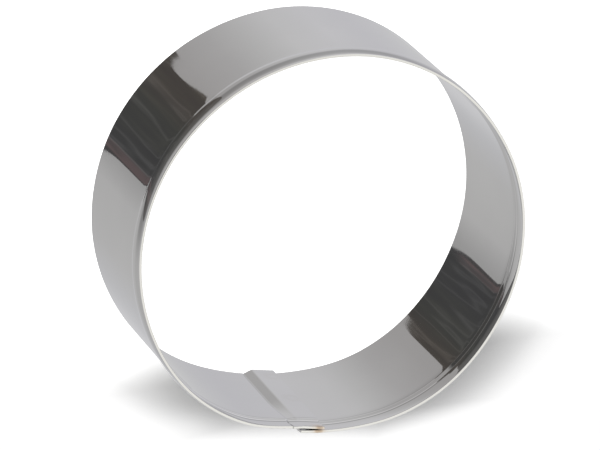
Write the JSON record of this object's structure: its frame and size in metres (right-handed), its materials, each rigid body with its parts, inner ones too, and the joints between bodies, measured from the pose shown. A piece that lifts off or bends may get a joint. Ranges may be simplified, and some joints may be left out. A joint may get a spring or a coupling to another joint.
{
  "type": "round cookie cutter",
  "caption": "Plain round cutter for rolled dough: a polished sheet strip bent into a ring, with a beaded grip edge and a joggled, spot-welded lap.",
  "frame": {"origin": "middle of the ring, across and along the lap, in the plane of the cutting edge it stands on", "axes": "+Z along the ring's axis, from the cutting edge to the beaded grip edge; -Y through the lapped joint; +X to the right when the lap faces the viewer"},
  "size_m": [0.0756, 0.0742, 0.03],
  "materials": {
    "stainless_sheet": "bright polished stainless sheet with faint rolling marks"
  },
  "bodies": {
    "root": {"cutter_ring": "stainless_sheet"}
  },
  "joints": []
}
